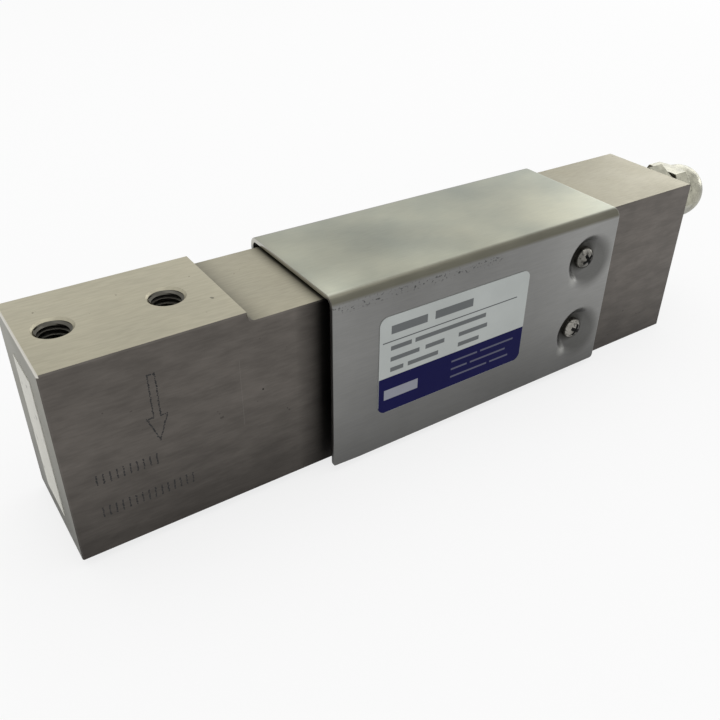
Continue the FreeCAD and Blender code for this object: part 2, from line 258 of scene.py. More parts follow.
class Effects:
    """The shader groups that several finishes share, each built once."""

    def __init__(self) -> None:
        """Build every group."""
        self.grain = self._grain()
        self.specks = self._specks()
        self.facing = self._facing()
        self.patch = self._patch()
        self.disc = self._disc()

    @staticmethod
    def _grain() -> NodeTree:
        """Fine lines and slow blotches of worked metal, both from 0 to 1.

        Returns:
            The finished group.
        """
        line_detail, blotch_detail = 3.0, 4.0
        group = Group("worked_metal_grain", ("Vector", "Stretch"), ("Line Scale", "Blotch Scale"),
                      ("Lines", "Blotches"))
        given, result = group.given, group.result
        stretched = group.vector("MULTIPLY", given["Vector"], given["Stretch"])[0]
        lines = group.noise(stretched, given["Line Scale"], line_detail)
        blotches = group.noise(given["Vector"], given["Blotch Scale"], blotch_detail)
        group.feed(result["Lines"], lines)
        group.feed(result["Blotches"], blotches)
        return group.tree

    @staticmethod
    def _specks() -> NodeTree:
        """Scattered marks: 1 inside a mark and 0 between marks.

        Returns:
            The finished group.
        """
        detail = 2.0
        group = Group("specks", ("Vector",), ("Scale", "Threshold", "Softness"))
        given = group.given
        noise = group.noise(given["Vector"], given["Scale"], detail)
        return group.masked(group.calc("SUBTRACT", noise, given["Threshold"]))

    @staticmethod
    def _facing() -> NodeTree:
        """How much a face looks in one direction, from 0 to 1.

        Returns:
            The finished group.
        """
        group = Group("facing", ("Normal", "Direction"), ("Start", "Full"))
        given = group.given
        cosine = group.vector("DOT_PRODUCT", given["Normal"], given["Direction"])["Value"]
        group.feed(group.result["Mask"], group.span(cosine, given["Start"], given["Full"]))
        return group.tree

    @staticmethod
    def _patch() -> NodeTree:
        """A soft-edged rectangle across X and Z, by its middle and half sizes in metres.

        Returns:
            The finished group.
        """
        group = Group("flat_patch", ("Vector", "Middle", "Half Size"), ("Softness",))
        given = group.given
        offset = group.vector("SUBTRACT", given["Vector"], given["Middle"])[0]
        reach = group.vector("ABSOLUTE", offset)[0]
        inside = group.split(group.vector("SUBTRACT", given["Half Size"], reach)[0])
        return group.masked(group.calc("MINIMUM", inside["X"], inside["Z"]))

    @staticmethod
    def _disc() -> NodeTree:
        """A soft-edged disc, by its middle, its plane's two axes and its radius in metres.

        Returns:
            The finished group.
        """
        group = Group("flat_disc", ("Vector", "Middle", "Plane"), ("Radius", "Softness"))
        given = group.given
        offset = group.vector("SUBTRACT", given["Vector"], given["Middle"])[0]
        reach = group.vector("LENGTH", group.vector("MULTIPLY", offset, given["Plane"])[0])
        return group.masked(group.calc("SUBTRACT", given["Radius"], reach["Value"]))


@dataclass(frozen=True)
class Grain:
    """Grain of a surface: how much finer its lines are along each axis, and two noise scales."""

    stretch: Triple
    lines: float
    blotches: float


@dataclass(frozen=True)
class Specks:
    """Scattered marks: their noise's scale, its level where a mark starts, and its soft edge."""

    scale: float
    threshold: float
    softness: float


@dataclass(frozen=True)
class Ramp:
    """A value that goes from low to high between two places along an axis of the part."""

    axis: str
    start: float
    stop: float
    low: float = 0.0
    high: float = 1.0


@dataclass(frozen=True)
class Patch:
    """A rectangle across the part: its middle and size along X and Z, and its soft edge."""

    x: float
    z: float
    length: float
    height: float
    softness: float = 0.06


class Plane(Enum):
    """The plane that a round place lies in, by the axes that count."""

    UPRIGHT = (1.0, 0.0, 1.0)
    LEVEL = (1.0, 1.0, 0.0)


@dataclass(frozen=True)
class Disc:
    """A round place on a flat face: its middle, its radius, its soft rim and the face's plane."""

    middle: Sequence[float]
    radius: float
    softness: float
    plane: Plane = Plane.UPRIGHT


class Paint(Tree):
    """One material in the making: its tree, its shader's inputs and the shared effects."""

    def __init__(self, name: str, effects: Effects, roughness: float,
                 metallic: float = 0.0) -> None:
        """Start a material with a Principled BSDF.

        Args:
            name: Name of the material.
            effects: The shared shader groups.
            roughness: Roughness where nothing varies it.
            metallic: 1 for metal and 0 for anything else.
        """
        self.material = bpy.data.materials.new(name)
        self.material.use_nodes = True
        super().__init__(self.material.node_tree)
        self.effects = effects
        self.shader = self.tree.nodes["Principled BSDF"].inputs
        self.shader["Roughness"].default_value = self.roughness = roughness
        self.shader["Metallic"].default_value = metallic
        places = self.add("ShaderNodeTexCoord").outputs
        self.place, self.normal = places["Object"], places["Normal"]

    @cached_property
    def axes(self) -> Sockets:
        """The part's coordinates, split into X, Y and Z."""
        return self.split(self.place)

    def effect(self, group: NodeTree, **inputs: Input) -> Sockets:
        """Place a shared group, with an underscore for each space of an input's name."""
        named = {name.replace("_", " "): value for name, value in inputs.items()}
        return self.add("ShaderNodeGroup", named, node_tree=group).outputs

    def grain(self, grain: Grain) -> tuple[NodeSocket, NodeSocket]:
        """Lines and blotches of a grain."""
        found = self.effect(self.effects.grain, Vector=self.place, Stretch=grain.stretch,
                            Line_Scale=grain.lines, Blotch_Scale=grain.blotches)
        return found["Lines"], found["Blotches"]

    def specks(self, specks: Specks) -> NodeSocket:
        """Mask of scattered marks."""
        return self.effect(self.effects.specks, Vector=self.place, Scale=specks.scale,
                           Threshold=specks.threshold, Softness=specks.softness)["Mask"]

    def facing(self, direction: Facing, start: float = 0.74, full: float = 0.96) -> NodeSocket:
        """Mask of the faces that look in a direction, by the cosines where it starts and ends."""
        return self.effect(self.effects.facing, Normal=self.normal, Direction=direction.value,
                           Start=start, Full=full)["Mask"]

    def ramp(self, ramp: Ramp) -> NodeSocket:
        """Value of a ramp."""
        return self.span(self.axes[ramp.axis], ramp.start * MM, ramp.stop * MM, ramp.low, ramp.high)

    def disc(self, disc: Disc) -> NodeSocket:
        """Mask of a disc."""
        middle = Vector(on * place for on, place in zip(disc.plane.value, disc.middle)) * MM
        return self.effect(self.effects.disc, Vector=self.place, Middle=middle,
                           Plane=disc.plane.value, Radius=disc.radius * MM,
                           Softness=disc.softness * MM)["Mask"]

    def patch(self, patch: Patch) -> NodeSocket:
        """Mask of a rectangle, at any depth along Y."""
        half_size = (patch.length / 2 * MM, 1.0, patch.height / 2 * MM)
        return self.effect(self.effects.patch, Vector=self.place, Half_Size=half_size,
                           Middle=(patch.x * MM, 0.0, patch.z * MM),
                           Softness=patch.softness * MM)["Mask"]

    def most(self, masks: Iterable[NodeSocket]) -> NodeSocket:
        """Join masks by the highest of them."""
        return reduce(lambda first, second: self.calc("MAXIMUM", first, second), masks)

    def bump(self, height: NodeSocket, strength: float, distance: float = 0.02) -> None:
        """Feed the shader's normal from a height between 0 and 1."""
        node = self.add("ShaderNodeBump", {"Height": height, "Strength": strength,
                                           "Distance": distance * MM})
        self.feed(self.shader["Normal"], node.outputs[0])

    def finish(self, colour: NodeSocket, noise: NodeSocket | None = None,
               swing: float = 0.0) -> Material:
        """Link the base colour, and let a noise sway the roughness.

        Args:
            colour: Socket of the base colour.
            noise: Socket of the noise, or None to keep the roughness plain.
            swing: How far the roughness goes up and down.

        Returns:
            The finished material.
        """
        self.feed(self.shader["Base Color"], colour)
        if noise is not None:
            swayed = self.span(noise, *WIDE_NOISE_SPAN, self.roughness - swing,
                               self.roughness + swing)
            self.feed(self.shader["Roughness"], swayed)
        return self.material


# --------------------------------------------------------------------------- finishes
class Finish(Protocol):
    """What a finish can do."""

    def material(self, effects: Effects) -> Material:
        """Build the finish's material with the shared groups."""


@dataclass(frozen=True)
class Mark:
    """A small painted mark: its place, its colour and how much of it shows."""

    patch: Patch
    colour: Colour
    share: float = 1.0


@dataclass(frozen=True)
class MilledSteel:
    """Milled and ground steel with fine lines along the bar; the top is painted bright and the
    mottled sides dark, as painted light and shade.

    The corner's painted shade is its patches, each with the power that shapes its edge and its
    share.
    """

    name: str = "milled_steel"
    roughness: float = 0.44
    roughness_swing: float = 0.05
    bump: float = 0.12
    fine: Grain = Grain((1.0, 7.0, 7.0), 330.0, 110.0)
    coarse: Grain = Grain((1.0, 2.6, 2.6), 150.0, 28.0)
    line_swing: float = 0.05
    cloud_swing: float = 0.07
    sides: Colour = (0.126, 0.114, 0.103)
    mottle_swing: float = 0.10
    blotch_swing: float = 0.06
    # Painted shade: the sides darker towards the bottom.
    foot: Ramp = Ramp("Z", 0.0, 22.0, 0.54, 1.0)
    # Painted light: the sides lighter towards the fixed end.
    fixed_end_rise: float = 1.17
    # Painted shadow of the cover on the sides beside its live edge.
    painted_shade: Colour = (0.012, 0.011, 0.010)
    cover_shadow_width: float = 12.0
    cover_shadow_fade: float = 5.5
    cover_shadow_share: float = 0.9
    all_across: float = 200.0
    top: Colour = (0.435, 0.408, 0.312)
    low_top: Ramp = Ramp("Z", 39.0, 39.5, 0.86, 1.0)
    below_pad: Ramp = Ramp("Z", 39.0, 39.5, 1.0, 0.0)
    # Painted shade in the corners at the pad's step and beside the cover.
    corner_painted_shade: tuple[tuple[Patch, float, float], ...] = (
        (Patch(-105.0, 38.0, 24.0, 200.0, 7.5), 2.5, 0.66),
        (Patch(-80.8, 38.0, 16.4, 200.0, 3.2), 2.0, 0.62))
    rim_r: float = 3.6
    rim_softness: float = 0.1
    rim_facing: tuple[float, float] = (0.4, 0.6)
    # The live end's face has its own colour, painted darker at the bottom and lighter at the top:
    # painted light and shade.
    live_end: Colour = (0.148, 0.145, 0.120)
    live_end_shade: Ramp = Ramp("Z", 0.0, 34.0, 0.72, 1.60)
    pits: Specks = Specks(520.0, 0.735, 0.03)
    pit_colour: Colour = (0.05, 0.045, 0.04)
    pit_share: float = 0.6
    # A scratch, a small dark pit, and a painted highlight on the live end's top edge.
    marks: tuple[Mark, ...] = (
        Mark(Patch(-102.7, 24.5, 0.14, 14.0, 0.1), (0.3, 0.29, 0.27), 0.3),
        Mark(Patch(-98.6, 23.8, 0.45, 0.45, 0.15), (0.01, 0.01, 0.01)),
        Mark(Patch(-134.35, 39.85, 0.5, 0.5, 0.15), (0.72, 0.70, 0.64)))

    def material(self, effects: Effects) -> Material:
        """Build the material.

        Args:
            effects: The shared shader groups.

        Returns:
            The finished material.
        """
        paint = Paint(self.name, effects, self.roughness, metallic=1.0)
        lines, blotches = paint.grain(self.fine)
        mottle, clouds = paint.grain(self.coarse)
        sides = paint.scaled(self.sides, paint.ramp(self.foot))
        sides = paint.uneven(sides, mottle, self.mottle_swing)
        sides = paint.uneven(sides, blotches, self.blotch_swing)
        # Painted light and shade: faces that look up take the bright top colour and the rest the
        # dark side colour; the hole chamfers take the top colour too.
        colour = paint.mix(paint.facing(Facing.UP), self.beside_cover(paint, sides),
                           self.top_colour(paint))
        rims = paint.most(paint.disc(Disc(hole, self.rim_r, self.rim_softness, Plane.LEVEL))
                          for hole in hole_mouths("live_end_holes"))
        colour = paint.lay(colour, self.top,
                           paint.times(rims, paint.facing(Facing.UP, *self.rim_facing)))
        live_end = paint.scaled(self.live_end, paint.ramp(self.live_end_shade))
        colour = paint.lay(colour, live_end, paint.facing(Facing.LIVE_END))
        colour = paint.uneven(colour, clouds, self.cloud_swing)
        colour = paint.uneven(colour, lines, self.line_swing)
        colour = paint.lay(colour, self.pit_colour, paint.specks(self.pits), self.pit_share)
        for mark in self.marks:
            colour = paint.lay(colour, mark.colour, paint.patch(mark.patch), mark.share)
        paint.bump(lines, self.bump)
        return paint.finish(colour, blotches, self.roughness_swing)

    def beside_cover(self, paint: Paint, sides: NodeSocket) -> NodeSocket:
        """Paint the sides lighter towards the fixed end as painted light, and paint the cover's
        shadow beside its live edge.

        Args:
            paint: The material in the making.
            sides: Colour of the sides.

        Returns:
            The new colour of the sides.
        """
        low, high = box("cover")
        # Painted light: the sides lighter towards the fixed end.
        sides = paint.scaled(sides, paint.ramp(Ramp("X", low.x, high.x, 1.0, self.fixed_end_rise)))
        # Painted shadow of the cover beside its live edge.
        edge = Patch(low.x, 0.0, self.cover_shadow_width, self.all_across, self.cover_shadow_fade)
        return paint.lay(sides, self.painted_shade, paint.patch(edge), self.cover_shadow_share)

    def top_colour(self, paint: Paint) -> NodeSocket:
        """Top faces, with painted shade in the corners at the pad's step and beside the cover.

        Args:
            paint: The material in the making.

        Returns:
            The colour of the top.
        """
        # Painted shade in the corners at the pad's step and beside the cover.
        corner = paint.most(paint.times(paint.calc("POWER", paint.patch(patch), power), share)
                            for patch, power, share in self.corner_painted_shade)
        corner = paint.times(corner, paint.ramp(self.below_pad))
        return paint.scaled(paint.scaled(self.top, paint.ramp(self.low_top)),
                            paint.calc("SUBTRACT", 1.0, corner))


@dataclass(frozen=True)
class Spot:
    """A round place painted beside a screw: its shift, radius, soft rim, share and colour."""

    shift: Triple
    radius: float
    softness: float
    share: float
    colour: Colour = (0.03, 0.029, 0.026)


@dataclass(frozen=True)
class SatinSheet:
    """Satin rolled sheet: top painted bright and sides dark as painted light and shade, painted
    shade along its bends, scuffs under them, and painted shade and a painted highlight at its
    dimples.

    A top patch is its disc and how much darker it is, below 0 where it is paler.
    """

    name: str = "satin_sheet"
    roughness: float = 0.34
    roughness_swing: float = 0.05
    bump: float = 0.08
    satin: Grain = Grain((0.5, 8.0, 8.0), 500.0, 75.0)
    slow: Grain = Grain((1.0, 1.0, 1.0), 500.0, 34.0)
    swing: float = 0.05
    line_swing: float = 0.03
    sides: Colour = (0.198, 0.198, 0.192)
    # Painted shade: the sides darker towards the bottom.
    foot: Ramp = Ramp("Z", 0.0, 26.0, 0.72, 1.0)
    # Painted light: the sides lighter towards both ends, above their foot.
    far_rise: float = 0.5
    near_rise: float = 0.22
    near_reach: float = 17.0
    rise_height: Ramp = Ramp("Z", 1.0, 13.0)
    top: Colour = (0.425, 0.424, 0.335)
    cool_top: Colour = (0.350, 0.368, 0.310)
    top_facing: tuple[float, float] = (0.86, 0.99)
    # Painted light: the top lighter towards the fixed end.
    top_rise: float = 0.28
    top_rise_reach: float = 32.0
    top_rise_power: float = 2.0
    # Round patches on the top: one darker, one paler.
    top_patches: tuple[tuple[Disc, float], ...] = (
        (Disc((-70.0, 2.0, 0.0), 13.0, 9.0, Plane.LEVEL), 0.18),
        (Disc((-84.0, -12.0, 0.0), 8.0, 8.0, Plane.LEVEL), -0.25))
    high_up: Ramp = Ramp("Z", 37.0, 38.0)
    # Painted shade along the cover's bends.
    bend: Colour = (0.145, 0.140, 0.110)
    bend_slant: tuple[float, float] = (0.10, 0.38)
    # Painted highlight along the cover's upper cut edge at its live end.
    cut_edge_highlight: Colour = (0.52, 0.51, 0.46)
    # Round places by each screw: two of painted shade in the dimple, and a painted highlight on the
    # dimple's lower left rim.
    spots: tuple[Spot, ...] = (
        Spot((1.2, 0.0, -0.9), 6.8, 2.6, 0.52), Spot((-0.8, 0.0, 0.8), 4.6, 1.6, 0.9),
        Spot((-3.7, 0.0, -4.0), 1.9, 1.6, 0.9, (0.36, 0.36, 0.34)))
    scuffs: Patch = Patch(-67.0, 36.9, 42.0, 2.4, 1.0)
    scuff_specks: Specks = Specks(1700.0, 0.585, 0.05)
    scuff_colour: Colour = (0.035, 0.035, 0.035)
    scuff_share: float = 0.75

    def material(self, effects: Effects) -> Material:
        """Build the material.

        Args:
            effects: The shared shader groups.

        Returns:
            The finished material.
        """
        paint = Paint(self.name, effects, self.roughness, metallic=1.0)
        lines, blotches = paint.grain(self.satin)
        clouds = paint.grain(self.slow)[1]
        # Painted light and shade: faces that look up take the bright top colour and the rest the
        # dark side colour.
        colour = paint.mix(paint.facing(Facing.UP, *self.top_facing), self.side_colour(paint),
                           self.top_colour(paint, clouds))
        turn = paint.split(paint.normal)
        slant = paint.times(paint.calc("ABSOLUTE", turn["Y"]), turn["Z"])
        high_up = paint.ramp(self.high_up)
        bends = paint.times(paint.span(slant, *self.bend_slant), high_up)
        colour = paint.lay(colour, self.bend, bends)
        cut_highlight = paint.times(paint.facing(Facing.LIVE_END), high_up)
        colour = paint.lay(colour, self.cut_edge_highlight, cut_highlight)
        for height in SCREW_TURNS:
            screw = node_middle(f"cover_screw_front_{height}")
            for spot in self.spots:
                disc = Disc(screw + Vector(spot.shift), spot.radius, spot.softness)
                colour = paint.lay(colour, spot.colour, paint.disc(disc), spot.share)
        colour = paint.uneven(colour, clouds, self.swing)
        colour = paint.uneven(colour, blotches, self.swing)
        colour = paint.uneven(colour, lines, self.line_swing)
        worn = paint.times(paint.patch(self.scuffs), paint.specks(self.scuff_specks))
        colour = paint.lay(colour, self.scuff_colour, worn, self.scuff_share)
        paint.bump(lines, self.bump)
        return paint.finish(colour, blotches, self.roughness_swing)

    def side_colour(self, paint: Paint) -> NodeSocket:
        """Sides: painted darker at their foot and lighter towards both ends, as painted shade and
        painted reflections.

        Args:
            paint: The material in the making.

        Returns:
            The colour of the sides.
        """
        low, high = box("cover")
        far = paint.ramp(Ramp("X", (low.x + high.x) / 2, high.x, 0.0, self.far_rise))
        near = paint.ramp(Ramp("X", low.x, low.x + self.near_reach, self.near_rise, 0.0))
        rise = paint.times(paint.calc("ADD", far, near), paint.ramp(self.rise_height))
        return paint.scaled(paint.scaled(self.sides, paint.ramp(self.foot)),
                            paint.calc("ADD", 1.0, rise))

    def top_colour(self, paint: Paint, clouds: NodeSocket) -> NodeSocket:
        """Top: clouded, with darker and paler round patches, and painted lighter towards the fixed
        end as a painted reflection.

        Args:
            paint: The material in the making.
            clouds: Socket of the slow noise.

        Returns:
            The colour of the top.
        """
        top = paint.mix(paint.span(clouds, *NOISE_SPAN), self.cool_top, self.top)
        end = box("cover")[1].x
        far = paint.calc("POWER", paint.ramp(Ramp("X", end - self.top_rise_reach, end)),
                         self.top_rise_power)
        top = paint.scaled(top, paint.calc("ADD", 1.0, paint.times(far, self.top_rise)))
        for disc, share in self.top_patches:
            shade = paint.calc("SUBTRACT", 1.0, paint.times(paint.disc(disc), share))
            top = paint.scaled(top, shade)
        return top


@dataclass(frozen=True)
class PlainMetal:
    """Bright metal with slight unevenness, dull flecks and sometimes a foot painted darker as
    painted shade.
    """

    name: str
    colour: Colour
    roughness: float
    unevenness: float = 0.08
    fleck_share: float = 0.0
    foot: Ramp | None = None
    roughness_swing: float = 0.06
    bump: float = 0.1
    grain: Grain = Grain((1.0, 1.0, 1.0), 1500.0, 300.0)
    flecks: Specks = Specks(1500.0, 0.54, 0.08)
    fleck_colour: Colour = (0.04, 0.038, 0.034)

    def material(self, effects: Effects) -> Material:
        """Build the material.

        Args:
            effects: The shared shader groups.

        Returns:
            The finished material.
        """
        paint = Paint(self.name, effects, self.roughness, metallic=1.0)
        lines, blotches = paint.grain(self.grain)
        colour = paint.uneven(self.colour, blotches, self.unevenness)
        # Painted shade: darker towards the foot.
        if self.foot is not None:
            colour = paint.scaled(colour, paint.ramp(self.foot))
        colour = paint.lay(colour, self.fleck_colour, paint.specks(self.flecks), self.fleck_share)
        paint.bump(lines, self.bump)
        return paint.finish(colour, blotches, self.roughness_swing)


@dataclass(frozen=True)
class PlainStuff:
    """A non-metal with a fine surface: rubber, silicone, laminate, foil or paper."""

    name: str
    colour: Colour
    roughness: float
    speck_colour: Colour
    specks: Specks = Specks(900.0, 0.62, 0.06)
    speck_share: float = 0.4
    blotches: float = 150.0
    blotch_swing: float = 0.05
    bump: float = 0.15
    bump_height: float = 0.03

    def material(self, effects: Effects) -> Material:
        """Build the material.

        Args:
            effects: The shared shader groups.

        Returns:
            The finished material.
        """
        paint = Paint(self.name, effects, self.roughness)
        lines, blotches = paint.grain(Grain((1.0, 1.0, 1.0), self.specks.scale, self.blotches))
        colour = paint.lay(self.colour, self.speck_colour, paint.specks(self.specks),
                           self.speck_share)
        colour = paint.uneven(colour, blotches, self.blotch_swing, WIDE_NOISE_SPAN)
        paint.bump(lines, self.bump, self.bump_height)
        return paint.finish(colour)


@dataclass(frozen=True)
class PrintedFilm:
    """Rating label: pale film with a rule, rows of plain bars and a dark band below.

    A bar of the print is its start, its stop and its level, from the label's lower left corner.
    """

    name: str = "printed_film"
    roughness: float = 0.42
    gloss: float = 0.05
    bump: float = 0.05
    grain: Grain = Grain((1.0, 1.0, 1.0), 700.0, 90.0)
    blotch_swing: float = 0.05
    film: Colour = (0.44, 0.463, 0.450)
    ink: Colour = (0.02, 0.022, 0.03)
    ink_share: float = 0.85
    rule: Triple = (0.7, 34.7, 16.4)
    rule_height: float = 0.3
    print_share: float = 0.85
    title: tuple[Triple, ...] = ((2.6, 11.2, 18.9), (13.0, 22.6, 18.9))
    title_height: float = 1.9
    rows: tuple[Triple, ...] = (
        (2.6, 7.6, 14.8), (8.4, 26.4, 14.8), (2.6, 9.6, 12.3), (11.0, 15.8, 12.3),
        (19.4, 27.0, 12.3), (2.6, 5.8, 9.9), (6.8, 14.4, 9.9), (19.4, 25.0, 9.9))
    row_height: float = 1.05
    band: Colour = (0.006, 0.006, 0.055)
    band_height: float = 8.33
    pale: Colour = (0.33, 0.34, 0.38)
    band_block: Triple = (1.3, 9.6, 4.2)
    band_block_height: float = 2.4
    band_block_share: float = 0.8
    band_rows: tuple[Triple, ...] = (
        (18.1, 25.0, 6.2), (25.8, 35.0, 6.2), (18.1, 22.4, 4.3), (23.2, 33.0, 4.3),
        (18.1, 28.0, 2.4), (28.8, 34.0, 2.4))
    band_row_height: float = 0.5
    band_row_share: float = 0.3

    def material(self, effects: Effects) -> Material:
        """Build the material.

        Args:
            effects: The shared shader groups.

        Returns:
            The finished material.
        """
        paint = Paint(self.name, effects, self.roughness)
        paint.shader["Specular IOR Level"].default_value = self.gloss
        low, high = box("rating_label")

        def bars(places: Iterable[Triple], height: float) -> list[NodeSocket]:
            """Masks of bars of one height."""
            return [paint.patch(Patch(low.x + (start + stop) / 2, low.z + level, stop - start,
                                      height)) for start, stop, level in places]

        words = bars(self.rows, self.row_height) + bars(self.title, self.title_height)
        rule, = bars([self.rule], self.rule_height)
        ink = paint.most((paint.times(paint.most(words), self.print_share), rule))
        colour = paint.lay(self.film, self.ink, ink, self.ink_share)
        band, = bars([(0.0, high.x - low.x, self.band_height / 2)], self.band_height)
        colour = paint.lay(colour, self.band, band)
        block, = bars([self.band_block], self.band_block_height)
        notes = paint.most(bars(self.band_rows, self.band_row_height))
        pale = paint.most((paint.times(block, self.band_block_share),
                           paint.times(notes, self.band_row_share)))
        colour = paint.lay(colour, self.pale, pale)
        lines, blotches = paint.grain(self.grain)
        colour = paint.uneven(colour, blotches, self.blotch_swing, WIDE_NOISE_SPAN)
        paint.bump(lines, self.bump)
        return paint.finish(colour)


FINISHES: dict[str, Finish] = {
    "stainless_block": MilledSteel(),
    "stainless_sheet": SatinSheet(),
    "screw_steel": PlainMetal("screw_steel", (0.27, 0.26, 0.235), 0.22, 0.45, 0.65),
    # The gland's nut is painted darker towards its foot: painted shade.
    "gland_plating": PlainMetal("nickel_plate", (0.42, 0.41, 0.33), 0.34, 0.26, 0.2,
                                Ramp("Z", 22.0, 34.0, 0.45, 1.0)),
    "seal_rubber": PlainStuff("nitrile_rubber", (0.02, 0.02, 0.02), 0.6, (0.05, 0.05, 0.05)),
    "gauge_foil": PlainStuff("gauge_foil", (0.50, 0.26, 0.07), 0.3, (0.62, 0.5, 0.3)),
    "lead_ribbon": PlainStuff("lead_ribbon", (0.40, 0.18, 0.05), 0.35, (0.6, 0.4, 0.2)),
    "board_laminate": PlainStuff("board_laminate", (0.03, 0.16, 0.07), 0.35, (0.05, 0.24, 0.10)),
    "resistor_body": PlainStuff("resistor_body", (0.03, 0.03, 0.035), 0.5, (0.08, 0.08, 0.08)),
    "potting_silicone": PlainStuff("potting_silicone", (0.55, 0.54, 0.50), 0.5,
                                   (0.48, 0.47, 0.43)),
    "label_film": PrintedFilm(),
    "label_paper": PlainStuff("label_paper", (0.64, 0.63, 0.57), 0.6, (0.25, 0.24, 0.22),
                              Specks(500.0, 0.66, 0.06), 0.6),
}
# Dark thread ridges: painted shade inside the tapped holes.
THREAD_STEEL = PlainMetal("tapped_thread", (0.105, 0.10, 0.085), 0.35)
# Dark dots of the peened marks, and painted shade inside the screws' cross recesses.
DARK_MARKS_AND_RECESS_SHADE = PlainStuff("peened_pits_and_recess_shade", (0.012, 0.012, 0.012), 0.7, (0.03, 0.03, 0.03))


# --------------------------------------------------------------------------- mesh building
def to_object(bm: BMesh, name: str, material: Material,
              sharp_above: float = 28.0) -> Object:
    """Turn a bmesh into a finished piece that rides on the part.

    Args:
        bm: The shape in the part's frame, in metres. It is freed.
        name: Name of the piece.
        material: Finish of the piece.
        sharp_above: Angle in degrees above which an edge is shaded sharp.

    Returns:
        The new object.
    """
    mesh = bpy.data.meshes.new(name)
    bm.to_mesh(mesh)
    bm.free()
    mesh.shade_smooth()
    mesh.set_sharp_from_angle(angle=math.radians(sharp_above))
    mesh.materials.append(material)
    piece = bpy.data.objects.new(name, mesh)
    bpy.context.scene.collection.objects.link(piece)
    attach(piece, BODY)
    return piece


def lines_over(bounds: Sequence[float], steps: Sequence[float]) -> list[float]:
    """Divide the bands between bounds into equal strips.

    Args:
        bounds: Where the bands start and stop, in order.
        steps: Widest that a strip of each band may be.

    Returns:
        The places of all lines.
    """
    lines = [bounds[0]]
    for start, stop, step in zip(bounds, bounds[1:], steps):
        count = math.ceil((stop - start) / step)
        lines += [start + (stop - start) * index / count for index in range(1, count + 1)]
    return lines


def lattice(bm: BMesh, xs: Sequence[float], ys: Sequence[float],
            place: Callable[[float, float], Vector]) -> None:
    """Draw a grid of faces over two sets of lines.

    Args:
        bm: The mesh.
        xs: Places of the lines along X.
        ys: Places of the lines along Y.
        place: Gives a crossing's place from its two lines' places.
    """
    columns, rows, half = len(xs) - 1, len(ys) - 1, 0.5
    bmesh.ops.create_grid(bm, x_segments=columns, y_segments=rows, size=half)
    for vert in bm.verts:
        column, row = round((vert.co.x + half) * columns), round((vert.co.y + half) * rows)
        vert.co = place(xs[column], ys[row])


def start_loop(bm: BMesh, count: int, place: CornerPlace) -> list[BMEdge]:
    """Make a first closed loop of edges, with its corners numbered.

    Args:
        bm: The mesh.
        count: Number of corners.
        place: Gives a corner's place from its number.

    Returns:
        The loop's edges.
    """
    number = bm.verts.layers.int.new("number")
    verts = bmesh.ops.create_circle(bm, segments=count, radius=1.0)["verts"]
    for index, vert in enumerate(verts):
        vert[number] = index
        vert.co = place(index)
    return list(dict.fromkeys(edge for vert in verts for edge in vert.link_edges))


def new_loop(bm: BMesh, edges: Sequence[BMEdge], place: CornerPlace) -> list[BMEdge]:
    """Extrude a closed loop of edges and put its new corners in place.

    Args:
        bm: The mesh.
        edges: The loop to extrude.
        place: Gives a corner's place from its number round the loop.

    Returns:
        The new loop's edges.
    """
    number = bm.verts.layers.int["number"]
    made = bmesh.ops.extrude_edge_only(bm, edges=edges)["geom"]
    for vert in (item for item in made if isinstance(item, BMVert)):
        vert.co = place(vert[number])
    return [item for item in made if isinstance(item, BMEdge)
            and all(vert in made for vert in item.verts)]


def facing_out(way: Vector, turn: float) -> Quaternion:
    """Turn about Z in degrees, and then Z into a direction."""
    return way.to_track_quat("Z", "X") @ Quaternion((0.0, 0.0, 1.0), math.radians(turn))


